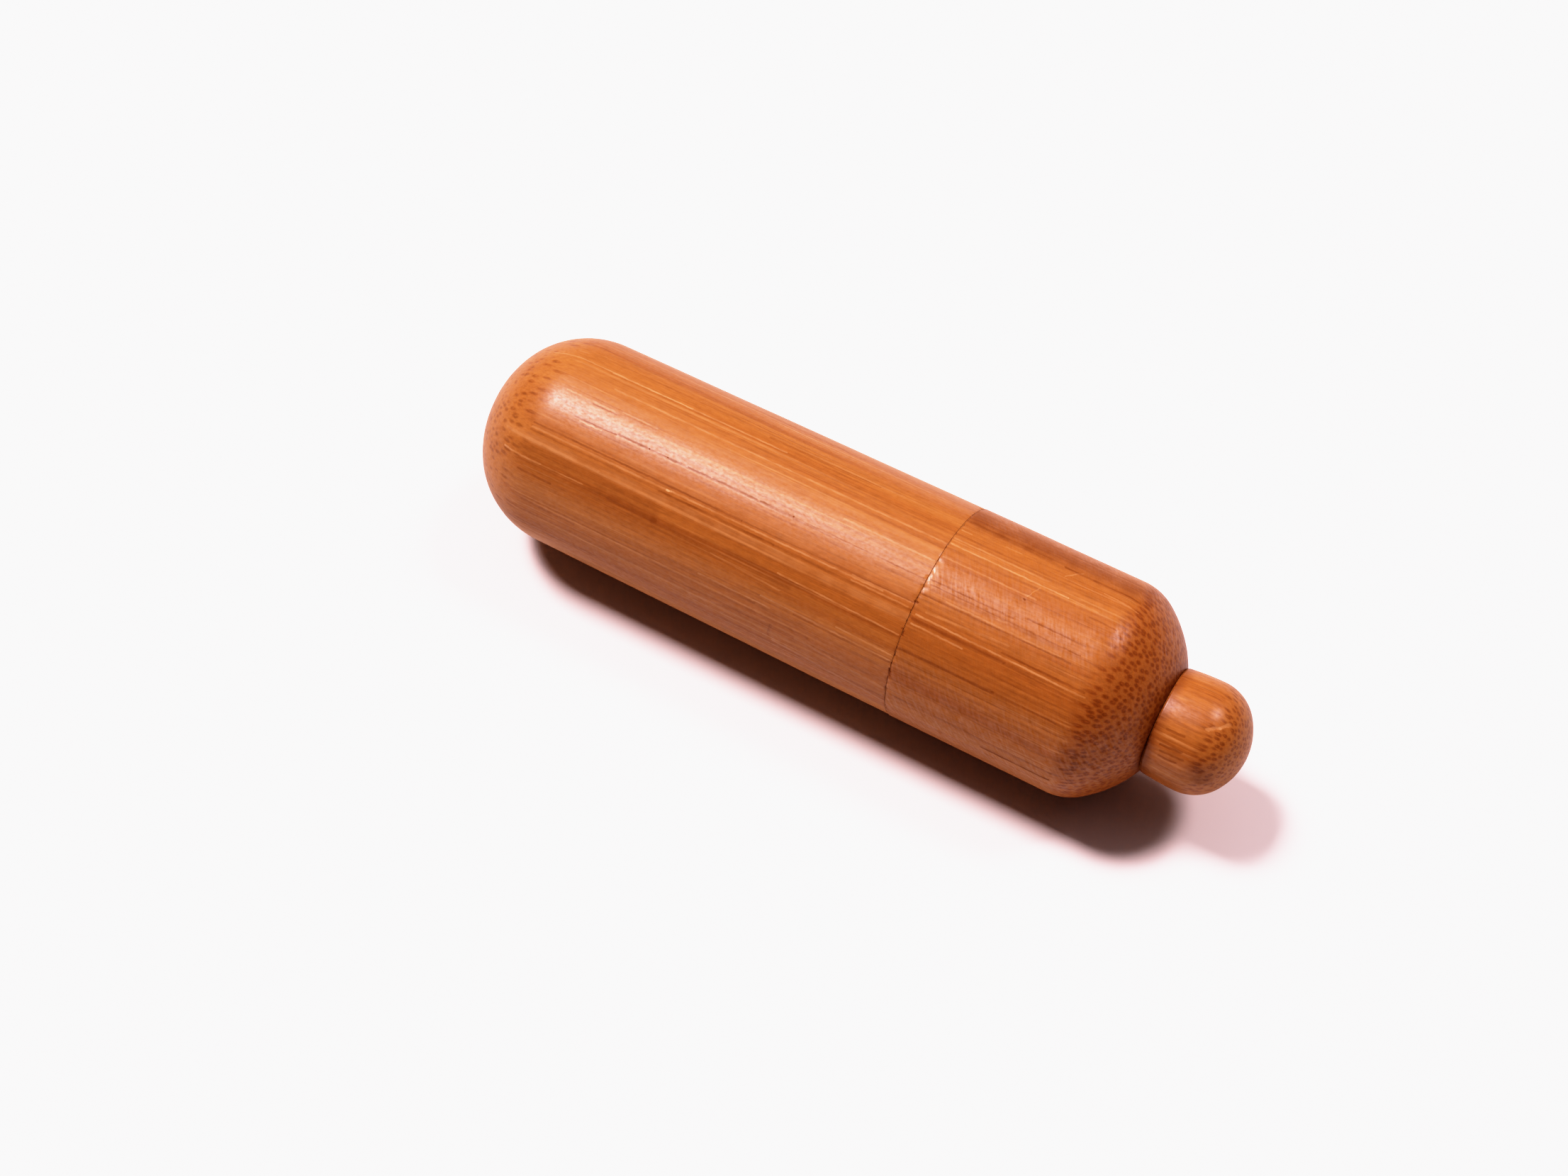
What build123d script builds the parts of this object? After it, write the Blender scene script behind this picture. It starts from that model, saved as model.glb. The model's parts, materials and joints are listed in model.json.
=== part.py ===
"""Needle case turned from carbonized bamboo: a domed body, a friction cap and the cap's glued pull knob.

The case lies on its side. Its axis runs along X, with the body's dome at -X and the knob at +X. The
origin is under the middle of its length, on the surface that it lies on. Sizes are in millimetres.
"""

from build123d import *
from math import hypot, radians, sqrt, tan
import os

# Outside of the body: a straight barrel that ends in a dome a little blunter than half a ball
body_radius = 9.9
barrel_length = 37.29
body_dome_shortening = 1.15
body_crown_radius = 13.2

# Outside of the cap. Its wall stands proud of the body's at the seam.
cap_overhang = 0.16
cap_side_length = 15.3
cap_dome_length = 7.55
cap_shoulder_radius = 4.9
seam_chamfer = 0.12

# Outside of the pull knob. Its side swells from the base to the dome.
knob_radius = 5.14
knob_swell = 0.19
knob_base_chamfer = 0.45
knob_side_length = 3.21
knob_dome_length = 4.38
knob_shoulder_radius = 4.0

# Tenon and socket: the cap's rim stops on the body's shoulder before the tenon can bottom.
cap_rim_wall = 2.0
fit_clearance = 0.05
tenon_wall = 1.9
tenon_length = 10.0
tenon_end_gap = 0.4
tenon_lead_in = 0.4
socket_lead_in = 0.35
mouth_ease = 0.25

# The needle well's drill point, and the wood left behind the hollows
drill_point_angle = 118.0
dome_end_wall = 3.2
cap_end_wall = 1.5

# The knob's glued dowel and its hole
dowel_radius = 2.5
dowel_length = 4.0
dowel_chamfer = 0.4
glue_gap = 0.05
dowel_end_gap = 0.4


def crown_radius(length, radius, shoulder_radius):
    """Radius of the crown, centred on the axis, that a dome of this length has above its shoulder."""
    return (length**2 + radius**2 - 2 * radius * shoulder_radius) / (2 * (length - shoulder_radius))


def dome_width(start, length, radius, shoulder_radius, flat_radius):
    """Place along the axis where a dome's crown is as narrow as flat_radius."""
    crown = crown_radius(length, radius, shoulder_radius)
    return start + length - crown + sqrt(crown**2 - flat_radius**2)


def dome(start, length, radius, shoulder_radius, flat_radius=0):
    """A turned dome's curve: a shoulder arc that leaves the side along the axis, then a crown arc."""
    crown = crown_radius(length, radius, shoulder_radius)
    crown_centre = start + length - crown
    shoulder_centre = radius - shoulder_radius
    reach = crown / hypot(start - crown_centre, shoulder_centre)
    meeting = (crown_centre + reach * (start - crown_centre), reach * shoulder_centre)
    end = (dome_width(start, length, radius, shoulder_radius, flat_radius), flat_radius)
    shoulder = TangentArc((start, radius), meeting, tangent=(1, 0))
    return [shoulder, TangentArc(meeting, end, tangent=shoulder % 1)]


# The body's dome is shorter than half a ball. Its shoulder turns as the crown's radius asks.
body_dome_length = body_radius - body_dome_shortening
body_shoulder_radius = body_dome_length - body_dome_shortening**2 / (2 * (body_crown_radius - body_radius))

# Radii, from the outside in
cap_radius = body_radius + cap_overhang
socket_radius = cap_radius - cap_rim_wall
tenon_radius = socket_radius - fit_clearance
well_radius = tenon_radius - tenon_wall
knob_base_radius = knob_radius - knob_swell
seat_radius = knob_base_radius - knob_base_chamfer
dowel_hole_radius = dowel_radius + glue_gap

# Places along the axis, measured from the seam
drill_point_length = well_radius / tan(radians(drill_point_angle / 2))
dome_tip = -barrel_length - body_dome_length
well_tip = dome_tip + dome_end_wall
well_end = well_tip + drill_point_length
socket_end = tenon_length + tenon_end_gap
seat = dome_width(cap_side_length, cap_dome_length, cap_radius, cap_shoulder_radius, seat_radius)
dowel_end = seat - dowel_length
dowel_hole_end = dowel_end - dowel_end_gap
cavity_end = dowel_hole_end - cap_end_wall
knob_dome_start = seat + knob_side_length
knob_tip = knob_dome_start + knob_dome_length

# The seam and the axis in the case's own frame
seam_x = -(dome_tip + knob_tip) / 2
axis_height = cap_radius


def turned(*outline):
    """Spins a closed outline, drawn as (along the axis from the seam, away from the axis)."""
    section = Plane.XZ * make_face(Curve() + list(outline))
    return Pos(seam_x, 0, axis_height) * revolve(section, Axis.X, 360)


def make_body():
    """Domed barrel with the tenon that the cap grips, bored out from the tenon's end."""
    blunt_end = dome(barrel_length, body_dome_length, body_radius, body_shoulder_radius)
    outside = [
        *(mirror(curve, about=Plane.YZ) for curve in blunt_end),
        Polyline(
            (-barrel_length, body_radius),
            (-seam_chamfer, body_radius),
            (0, body_radius - seam_chamfer),
            (0, tenon_radius),
            (tenon_length - tenon_lead_in, tenon_radius),
            (tenon_length, tenon_radius - tenon_lead_in),
        ),
    ]
    well = Polyline(
        (tenon_length, tenon_radius - tenon_lead_in),
        (tenon_length, well_radius + mouth_ease),
        (tenon_length - mouth_ease, well_radius),
        (well_end, well_radius),
        (well_tip, 0),
        (dome_tip, 0),
    )
    return turned(*outside, well)


def make_cap():
    """Cap with a domed end: socket for the tenon, a flat-ended cavity behind it, and the knob's hole."""
    outside = [
        Polyline((0, cap_radius - seam_chamfer), (seam_chamfer, cap_radius), (cap_side_length, cap_radius)),
        *dome(cap_side_length, cap_dome_length, cap_radius, cap_shoulder_radius, seat_radius),
    ]
    knob_hole = Polyline(
        (seat, seat_radius),
        (seat, dowel_hole_radius),
        (dowel_hole_end, dowel_hole_radius),
        (dowel_hole_end, 0),
    )
    hollow = Polyline(
        (dowel_hole_end, 0),
        (cavity_end, 0),
        (cavity_end, well_radius),
        (socket_end, well_radius),
        (socket_end, socket_radius),
        (socket_lead_in, socket_radius),
        (0, socket_radius + socket_lead_in),
        (0, cap_radius - seam_chamfer),
    )
    return turned(*outside, knob_hole, hollow)


def make_pull_knob():
    """Domed knob on a short dowel, seated on the flat at the top of the cap's dome."""
    outline = Polyline(
        (knob_tip, 0),
        (dowel_end, 0),
        (dowel_end, dowel_radius - dowel_chamfer),
        (dowel_end + dowel_chamfer, dowel_radius),
        (seat, dowel_radius),
        (seat, seat_radius),
        (seat + knob_base_chamfer, knob_base_radius),
    )
    side = TangentArc((knob_dome_start, knob_radius), outline @ 1, tangent=(-1, 0))
    return turned(outline, side, *dome(knob_dome_start, knob_dome_length, knob_radius, knob_shoulder_radius))


pieces = {"case_body": make_body(), "cap": make_cap(), "pull_knob": make_pull_knob()}
os.makedirs("parts", exist_ok=True)
for name, piece in pieces.items():
    piece.label = name
    export_step(piece, f"parts/{name}.step")
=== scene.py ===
"""Turned bamboo needle case: a domed body, a friction cap and a pull knob, all turned about one axis.

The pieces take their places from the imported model. Outlines are worked out in millimetres, as (along the
axis, away from the axis), and become meshes in metres.
"""

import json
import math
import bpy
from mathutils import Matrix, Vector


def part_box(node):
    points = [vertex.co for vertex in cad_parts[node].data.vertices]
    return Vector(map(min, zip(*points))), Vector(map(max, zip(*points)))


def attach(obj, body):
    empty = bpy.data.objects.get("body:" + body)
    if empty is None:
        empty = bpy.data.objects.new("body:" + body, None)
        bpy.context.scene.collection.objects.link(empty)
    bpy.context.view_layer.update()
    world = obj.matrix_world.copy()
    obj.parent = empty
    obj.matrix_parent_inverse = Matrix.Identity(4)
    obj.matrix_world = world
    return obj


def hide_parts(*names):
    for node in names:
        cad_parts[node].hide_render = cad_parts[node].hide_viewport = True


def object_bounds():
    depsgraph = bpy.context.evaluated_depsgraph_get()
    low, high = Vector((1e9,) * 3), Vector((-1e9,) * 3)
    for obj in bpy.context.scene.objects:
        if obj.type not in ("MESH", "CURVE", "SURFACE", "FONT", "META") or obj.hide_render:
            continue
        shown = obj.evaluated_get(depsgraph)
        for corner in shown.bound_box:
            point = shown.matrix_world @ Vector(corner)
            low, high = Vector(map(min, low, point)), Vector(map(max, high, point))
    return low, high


bl_info = {
    "name": "Turned bamboo needle case",
    "version": (1, 0, 0),
    "blender": (4, 5, 0),
    "location": "View3D > Sidebar > Needle case",
    "description": "Turns a needle case's body, cap and pull knob, and gives them a lacquered bamboo finish",
    "category": "Object",
}

from typing import NamedTuple

import bpy
from bpy.props import FloatProperty, FloatVectorProperty, IntProperty, PointerProperty
from bpy.types import Operator, Panel, PropertyGroup
from mathutils import Vector

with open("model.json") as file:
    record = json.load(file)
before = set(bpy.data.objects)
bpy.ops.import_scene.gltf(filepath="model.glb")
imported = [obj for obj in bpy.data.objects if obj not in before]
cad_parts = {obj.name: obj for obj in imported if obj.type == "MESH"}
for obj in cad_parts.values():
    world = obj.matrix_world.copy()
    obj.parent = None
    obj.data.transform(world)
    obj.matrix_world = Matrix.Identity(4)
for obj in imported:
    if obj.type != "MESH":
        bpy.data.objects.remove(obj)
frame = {"record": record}
CAD_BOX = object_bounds()

MM = 0.001
LATHE = "Turned on the lathe"  # The geometry tree that all three pieces run through

# Spacing of the outlines' points, in millimetres: close where it shows, wide where it doesn't
SIDE_STEP = 0.33
CAP_CROWN_STEP = 0.28
KNOB_STEP = 0.2
ARRIS_STEP = 0.04
KNOB_ARRIS_STEP = 0.06
RIM_STEP = 0.5
TENON_STEP = 1.0
BORE_STEP = 6.0
BORE_END_STEP = 1.5
SAME_POINT = 1e-5

# The turned mesh: points nearer than this, in metres, join, and edges sharper than this stay creased
MERGE_DISTANCE = 2e-6
CREASE_ANGLE = math.radians(35)

# The finish, in millimetres: its bumps, the cut fibre bundles, the grime in the seam, and grime and painted
# shade round the knob
BUMP_DEPTH = 0.03
BUNDLE_LENGTH = 300.0
SEAM_GRIME_DEPTH = 0.05
SEAM_GRIME_REACH = 0.11
SEAT_GRIME_AND_SHADE_RADIUS = 4.95
SEAT_GRIME_AND_SHADE_REACH = 1.1

# The stage, in metres except for the camera's sensor and its aim, which are in millimetres
FLOOR_REACH = 4.0
LIGHT_DISTANCE = 3.0
OVERHEAD_DISTANCE = 0.9
OVERHEAD_SIZE = 1.2
END_LIGHT_SIZE = 0.7
TOWARDS_END_LIGHT = (0.38, 0.48, 1.0)
CAMERA_AIM = (-4.925, -4.58, 10.037)
SENSOR_WIDTH = 36.0
CLIP_START = 0.005

# The film's curve: the most light that it takes in, and the number of steps in it
FILM_REACH = 3.0
FILM_STEPS = 24


# --- Sizes, finish and stage that a user would change ---------------------------------------------


def tint(name, description, red, green, blue):
    """A colour property, in linear light."""
    return FloatVectorProperty(
        name=name,
        description=description,
        subtype="COLOR",
        size=3,
        min=0.0,
        max=1.0,
        default=(red, green, blue),
    )


def size(name, description, default):
    """A size property, in millimetres."""
    return FloatProperty(name=name, description=description + ", in millimetres", default=default, min=0.0)


def angle(name, description, degrees):
    """An angle property. Blender holds it in radians."""
    return FloatProperty(name=name, description=description, subtype="ANGLE", default=math.radians(degrees))


def amount(name, description, default, **more):
    """A number that isn't below 0."""
    return FloatProperty(name=name, description=description, default=default, min=0.0, **more)


class NeedleCaseSizes(PropertyGroup):
    mouth_step: size("Mouth step", "How far the body's mouth lies below the cap's rim", 0.04)
    barrel_taper: size("Barrel taper", "Radius that the barrel loses from its mouth to its dome", 0.14)
    dome_length: size("Dome length", "Length of the body's domed end", 8.75)
    dome_shoulder: size("Dome shoulder", "Radius of the arc between the barrel and the dome's crown", 8.55)
    seam_round: size("Seam rounding", "Rounding of both edges at the seam", 0.04)
    cap_side: size("Cap side", "Length of the cap's straight side", 15.3)
    cap_dome: size("Cap dome", "Length that the cap's dome would have without its flat top", 7.55)
    cap_shoulder: size("Cap shoulder", "Radius of the arc between the cap's side and its crown", 4.9)
    seat_radius: size("Knob seat", "Radius of the flat that the knob stands on", 4.5)
    knob_swell: size("Knob swell", "How much wider the pull knob is at its dome than at its base", 0.19)
    knob_base_round: size("Knob base", "Rounding under the pull knob", 0.15)
    knob_lap: size("Knob lap", "How far the knob's base reaches down round its seat", 0.1)
    knob_side: size("Knob side", "Length of the knob's side, with its rounded base", 3.21)
    knob_shoulder: size("Knob shoulder", "Radius of the arc between the knob's side and its crown", 4.0)
    rim_wall: size("Rim wall", "Wall of the cap round its socket", 2.0)
    fit: size("Fit", "Clearance between tenon and socket", 0.05)
    tenon_wall: size("Tenon wall", "Wall of the tenon round the needle well", 1.9)
    tenon_lead: size("Tenon lead-in", "Chamfer at the end of the tenon", 0.4)
    socket_lead: size("Socket lead-in", "Chamfer at the mouth of the socket", 0.35)
    mouth_ease: size("Mouth ease", "Chamfer at the mouth of the needle well", 0.25)
    socket_gap: size("Socket gap", "Room behind the seated tenon", 0.4)
    dome_wall: size("Dome wall", "Wood left behind the needle well", 3.2)
    cap_wall: size("Cap wall", "Wood left between the cap's cavity and the dowel's hole", 1.5)
    dowel_radius: size("Dowel radius", "Radius of the knob's glued dowel", 2.5)
    dowel_chamfer: size("Dowel chamfer", "Chamfer at the end of the dowel", 0.4)
    glue_gap: size("Glue gap", "Room round the dowel", 0.05)
    dowel_gap: size("Dowel end gap", "Room behind the dowel", 0.4)
    drill_angle: angle("Drill point", "Angle of the needle well's point", 118)
    hand_sanding: size("Hand sanding", "Depth of the slow waves that sanding leaves", 0.05)
    fibre_ridges: size("Fibre ridges", "Depth of the furrows between fibres", 0.012)
    end_pores: size("End pores", "Depth of the unevenness where fibres are cut across", 0.025)
    rim_wear: size("Rim wear", "Depth of the small chips along the seam", 0.1)
    facets: IntProperty(name="Facets", description="Flats around the case", default=480, min=24)
    knob_facets: IntProperty(name="Knob facets", description="Flats around the knob", default=320, min=24)


class BambooFinish(PropertyGroup):
    honey: tint("Honey", "The lighter wood", 0.31, 0.15, 0.046)
    caramel: tint("Caramel", "The main tone of the wood", 0.262, 0.114, 0.031)
    russet: tint("Russet", "The deeper bands", 0.205, 0.076, 0.018)
    # Straw also paints the pale rim of the cap, which is partly wear and partly a painted highlight
    straw: tint("Straw", "Fine bright fibres and worn edges", 0.5, 0.3, 0.14)
    # Bark also paints the dark marks and grime, among them painted shade over the cap's far side and round
    # the knob
    bark: tint("Bark", "Fine dark fibres and the fibre bundles' cut ends", 0.10, 0.032, 0.009)
    raw: tint("Raw wood", "Bare wood of the tenon, the socket and the hollows", 0.36, 0.21, 0.09)
    lacquer: amount("Lacquer", "Strength of the clear coat", 0.17, max=1.0)
    lacquer_roughness: amount("Lacquer roughness", "Roughness of the clear coat", 0.34, max=1.0)


class StageSettings(PropertyGroup):
    floor: tint("Floor", "Colour of the floor", 0.8, 0.8, 0.8)
    light: tint("Light", "Tint of every light", 0.965, 0.72, 0.745)
    key_power: amount("Key", "Power of the key light, in watts", 222.0)
    key_turn: angle("Key turn", "Bearing of the key light from +X", 178.8)
    key_height: angle("Key height", "Height of the key light's direction", 62.5)
    key_size: amount("Key size", "Width of the key light", 0.75, unit="LENGTH")
    overhead_power: amount("Overhead", "Power of the overhead light, in watts", 4.0)
    overhead_turn: angle("Overhead turn", "Bearing of the overhead light from +X", 90)
    overhead_height: angle("Overhead height", "Height of the overhead light's direction", 70)
    end_power: amount("End light", "Power of the light beyond the knob, in watts", 87.0)
    sky: amount("Sky", "Strength of the light from all round", 0.103)
    camera_turn: angle("Camera turn", "Azimuth of the camera", 30.13)
    camera_height: angle("Camera height", "Elevation of the camera", 55.98)
    camera_distance: amount("Camera distance", "From the camera to its aim", 0.2147, unit="LENGTH")
    lens: amount("Lens", "Focal length on a 36 mm sensor", 55.53)
    toe: amount("Film toe", "How far the film sinks the shadows", 0.188)
    shoulder: amount("Film shoulder", "Brightness where highlights start to level", 0.5)
    ceiling: amount("Film ceiling", "Brightness at which each colour saturates", 0.948)


# --- Node graphs -----------------------------------------------------------------------------------


class Wire:
    """A socket of a node, so that an expression on wires adds its Math nodes."""

    def __init__(self, graph, socket):
        self.graph = graph
        self.socket = socket

    def _math(self, operation, *values):
        return self.graph.add("ShaderNodeMath", {"operation": operation}, dict(enumerate(values)))

    def __add__(self, other):
        return self._math("ADD", self, other)

    def __sub__(self, other):
        return self._math("SUBTRACT", self, other)

    def __rsub__(self, other):
        return self._math("SUBTRACT", other, self)

    def __mul__(self, other):
        return self._math("MULTIPLY", self, other)

    def __truediv__(self, other):
        return self._math("DIVIDE", self, other)

    def __mod__(self, other):
        return self._math("MODULO", self, other)

    def __floordiv__(self, other):
        return self._math("FLOOR", self / other)

    def __gt__(self, other):
        return self._math("GREATER_THAN", self, other)

    def __abs__(self):
        return self._math("ABSOLUTE", self)

    __radd__ = __add__

    def fade(self, start, end):
        """0 at start and 1 at end, with a soft step between them."""
        return self.graph.add(
            "ShaderNodeMapRange",
            {"interpolation_type": "SMOOTHSTEP"},
            {"Value": self, "From Min": start, "From Max": end},
        )


class Graph:
    """Adds nodes to a shader or geometry tree."""

    def __init__(self, tree):
        self.tree = tree

    def add(self, kind, settings=None, sockets=None, output=0):
        """Adds a node, its settings first and then its sockets' values or links. Gives one output's wire."""
        node = self.tree.nodes.new(kind)
        for name, value in (settings or {}).items():
            setattr(node, name, value)
        for name, value in (sockets or {}).items():
            if isinstance(value, Wire):
                self.tree.links.new(value.socket, node.inputs[name])
            else:
                node.inputs[name].default_value = value
        return Wire(self, node.outputs[output]) if node.outputs else node

    def vector(self, operation, *values, output=0):
        """Vector Math of the given operation."""
        return self.add("ShaderNodeVectorMath", {"operation": operation}, dict(enumerate(values)), output)

    def mix(self, factor, first, second, mode="MIX"):
        """Mixes two colours by a factor."""
        colours = {0: factor, 6: (*first, 1) if isinstance(first, tuple) else first}
        colours[7] = (*second, 1) if isinstance(second, tuple) else second
        return self.add("ShaderNodeMix", {"data_type": "RGBA", "blend_type": mode}, colours, 2)

    def noise(self, place, scale, detail=1.0, output=0):
        """Noise at a place scaled by one number for each direction."""
        sockets = {"Vector": self.vector("MULTIPLY", place, scale), "Scale": 1.0, "Detail": detail}
        return self.add("ShaderNodeTexNoise", None, sockets, output)


# --- Outlines on the lathe -------------------------------------------------------------------------


def spaced(first, last, spacing):
    """Evenly spaced points of a straight stretch."""
    count = max(1, round(math.dist(first, last) / spacing))
    return [tuple(a + (b - a) * i / count for a, b in zip(first, last)) for i in range(count + 1)]


def arc(centre, radii, first, last, spacing):
    """Evenly turned points of an arc. The radii are along and away from the axis, the angles in radians."""
    count = max(2, round(abs(last - first) * max(radii) / spacing))
    turns = [first + (last - first) * i / count for i in range(count + 1)]
    return [(centre[0] + radii[0] * math.cos(t), centre[1] + radii[1] * math.sin(t)) for t in turns]


def dome(start, length, radius, shoulder, flat, spacing):
    """A turned dome: an arc of the shoulder's radius off the side, then a crown centred on the axis."""
    crown = (length**2 + radius**2 - 2 * radius * shoulder) / (2 * (length - shoulder))
    crown_centre = start + length - crown
    meeting = math.atan2(radius - shoulder, start - crown_centre)
    off_side = arc((start, radius - shoulder), (shoulder, shoulder), math.pi / 2, meeting, spacing)
    return off_side + arc((crown_centre, 0), (crown, crown), meeting, math.asin(flat / crown), spacing)


class Outline:
    """Half of a piece's section, drawn from the axis back to the axis with the air on its left."""

    def __init__(self):
        self.points = []
        self.polish = []

    def go(self, points, polished=False):
        """Adds a stretch, and leaves out a first point that repeats the last one."""
        for point in points:
            if self.points and math.dist(point, self.points[-1]) < SAME_POINT:
                continue
            self.points.append(point)
            self.polish.append(1.0 if polished else 0.0)
        return self

    def end_grain(self):
        """For each point, how squarely the surface there cuts the fibres, from 0 to 1."""
        cuts = []
        last = len(self.points) - 1
        for i in range(last + 1):
            (x0, r0), (x1, r1) = self.points[max(i - 1, 0)], self.points[min(i + 1, last)]
            cuts.append(abs(r1 - r0) / max(math.hypot(x1 - x0, r1 - r0), 1e-9))
        return cuts

    def mesh(self, name):
        """The outline as a chain of edges in the XZ plane, in metres."""
        chain = bpy.data.meshes.new(name)
        corners = [(x * MM, 0.0, r * MM) for x, r in self.points]
        chain.from_pydata(corners, [(i, i + 1) for i in range(len(corners) - 1)], [])
        for attribute, values in (("polish", self.polish), ("end_grain", self.end_grain())):
            chain.attributes.new(attribute, "FLOAT", "POINT").data.foreach_set("value", values)
        return chain


class Places:
    """Places along the axis and distances from it, in millimetres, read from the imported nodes' boxes."""

    def __init__(self, sizes):
        body_low, body_high = (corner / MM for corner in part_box("case_body"))
        cap_low, cap_high = (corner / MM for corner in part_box("cap"))
        knob_low, knob_high = (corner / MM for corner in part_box("pull_knob"))
        self.axis_height = (cap_low.z + cap_high.z) / 2
        self.dome_tip = body_low.x
        self.seam = cap_low.x
        self.tenon_end = body_high.x
        self.seat = cap_high.x
        self.dowel_end = knob_low.x
        self.knob_tip = knob_high.x
        self.cap_radius = (cap_high.y - cap_low.y) / 2
        self.knob_radius = (knob_high.y - knob_low.y) / 2
        self.mouth_radius = self.cap_radius - sizes.mouth_step
        self.socket_radius = self.cap_radius - sizes.rim_wall
        self.tenon_radius = self.socket_radius - sizes.fit
        self.well_radius = self.tenon_radius - sizes.tenon_wall


def body_outline(sizes, at):
    """Dome, barrel, tenon and needle well."""
    dome_radius = at.mouth_radius - sizes.barrel_taper
    dome_start = at.dome_tip + sizes.dome_length
    edge = sizes.seam_round
    lead = at.tenon_end - sizes.tenon_lead
    well_start = at.tenon_end - sizes.mouth_ease
    well_tip = at.dome_tip + sizes.dome_wall
    well_end = well_tip + at.well_radius / math.tan(sizes.drill_angle / 2)
    blunt_end = dome(-dome_start, sizes.dome_length, dome_radius, sizes.dome_shoulder, 0.0, SIDE_STEP)
    arris = arc((at.seam - edge, at.mouth_radius - edge), (edge, edge), math.pi / 2, 0, ARRIS_STEP)
    outline = Outline().go([(-x, max(r, 0.0)) for x, r in reversed(blunt_end)], polished=True)
    mouth = (at.seam - edge, at.mouth_radius)
    outline.go(spaced((dome_start, dome_radius), mouth, SIDE_STEP), polished=True)
    outline.go(arris, polished=True)
    outline.go(spaced((at.seam, at.mouth_radius - edge), (at.seam, at.tenon_radius), RIM_STEP))
    outline.go(spaced((at.seam, at.tenon_radius), (lead, at.tenon_radius), TENON_STEP))
    outline.go([(at.tenon_end, at.tenon_radius - sizes.tenon_lead)])
    outline.go([(at.tenon_end, at.well_radius + sizes.mouth_ease), (well_start, at.well_radius)])
    outline.go(spaced((well_start, at.well_radius), (well_end, at.well_radius), BORE_STEP))
    return outline.go(spaced((well_end, at.well_radius), (well_tip, 0.0), BORE_END_STEP))


def cap_outline(sizes, at):
    """Cavity, socket, rim, side and dome, with the dowel's hole at its top."""
    edge = sizes.seam_round
    socket_end = at.tenon_end + sizes.socket_gap
    lead = at.socket_radius + sizes.socket_lead
    hole_radius = sizes.dowel_radius + sizes.glue_gap
    hole_end = at.dowel_end - sizes.dowel_gap
    cavity_end = hole_end - sizes.cap_wall
    side_end = at.seam + sizes.cap_side
    flat = sizes.seat_radius
    crowned = dome(side_end, sizes.cap_dome, at.cap_radius, sizes.cap_shoulder, flat, CAP_CROWN_STEP)
    arris = arc((at.seam + edge, at.cap_radius - edge), (edge, edge), math.pi, math.pi / 2, ARRIS_STEP)
    outline = Outline().go(spaced((cavity_end, 0.0), (cavity_end, at.well_radius), BORE_END_STEP))
    outline.go([(socket_end, at.well_radius), (socket_end, at.socket_radius)])
    socket_start = at.seam + sizes.socket_lead
    outline.go(spaced((socket_end, at.socket_radius), (socket_start, at.socket_radius), TENON_STEP))
    outline.go(spaced((at.seam, lead), (at.seam, at.cap_radius - edge), RIM_STEP))
    outline.go(arris, polished=True)
    outline.go(spaced((at.seam + edge, at.cap_radius), (side_end, at.cap_radius), SIDE_STEP), polished=True)
    outline.go([(min(x, at.seat), r) for x, r in crowned], polished=True)
    return outline.go([(at.seat, hole_radius), (hole_end, hole_radius), (hole_end, 0.0)])


def knob_outline(sizes, at):
    """Dowel, base that laps over the cap's dome, swelling side and crown."""
    edge = sizes.knob_base_round
    side_end = at.seat + sizes.knob_side
    lap = at.knob_radius - sizes.knob_swell - edge
    side_length = sizes.knob_side - edge
    swell = (side_length**2 + sizes.knob_swell**2) / (2 * sizes.knob_swell)
    swell_start = math.pi / 2 + math.asin(side_length / swell)
    radii = (edge + sizes.knob_lap, edge)
    arris = arc((at.seat + edge, lap), radii, math.pi, math.pi / 2, KNOB_ARRIS_STEP)
    side = arc((side_end, at.knob_radius - swell), (swell, swell), swell_start, math.pi / 2, KNOB_STEP)
    crowned = dome(side_end, at.knob_tip - side_end, at.knob_radius, sizes.knob_shoulder, 0.0, KNOB_STEP)
    outline = Outline().go([(at.dowel_end, 0.0), (at.dowel_end, sizes.dowel_radius - sizes.dowel_chamfer)])
    outline.go([(at.dowel_end + sizes.dowel_chamfer, sizes.dowel_radius), (at.seat, sizes.dowel_radius)])
    outline.go([(at.seat, sizes.seat_radius), (at.seat - sizes.knob_lap, lap)])
    outline.go(arris, polished=True)
    outline.go(side, polished=True)
    return outline.go([(x, max(r, 0.0)) for x, r in crowned], polished=True)


# --- The lathe: spins an outline and roughens it as hand sanding and wear do -----------------------

SPIN_INPUTS = (
    ("Facets", "NodeSocketInt"),
    ("Axis height", "NodeSocketFloat"),
    ("Hand sanding", "NodeSocketFloat"),
    ("Fibre ridges", "NodeSocketFloat"),
    ("End pores", "NodeSocketFloat"),
    ("Rim wear", "NodeSocketFloat"),
    ("Seam", "NodeSocketFloat"),
    ("Seed", "NodeSocketFloat"),
    ("Finish", "NodeSocketMaterial"),
)


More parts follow.
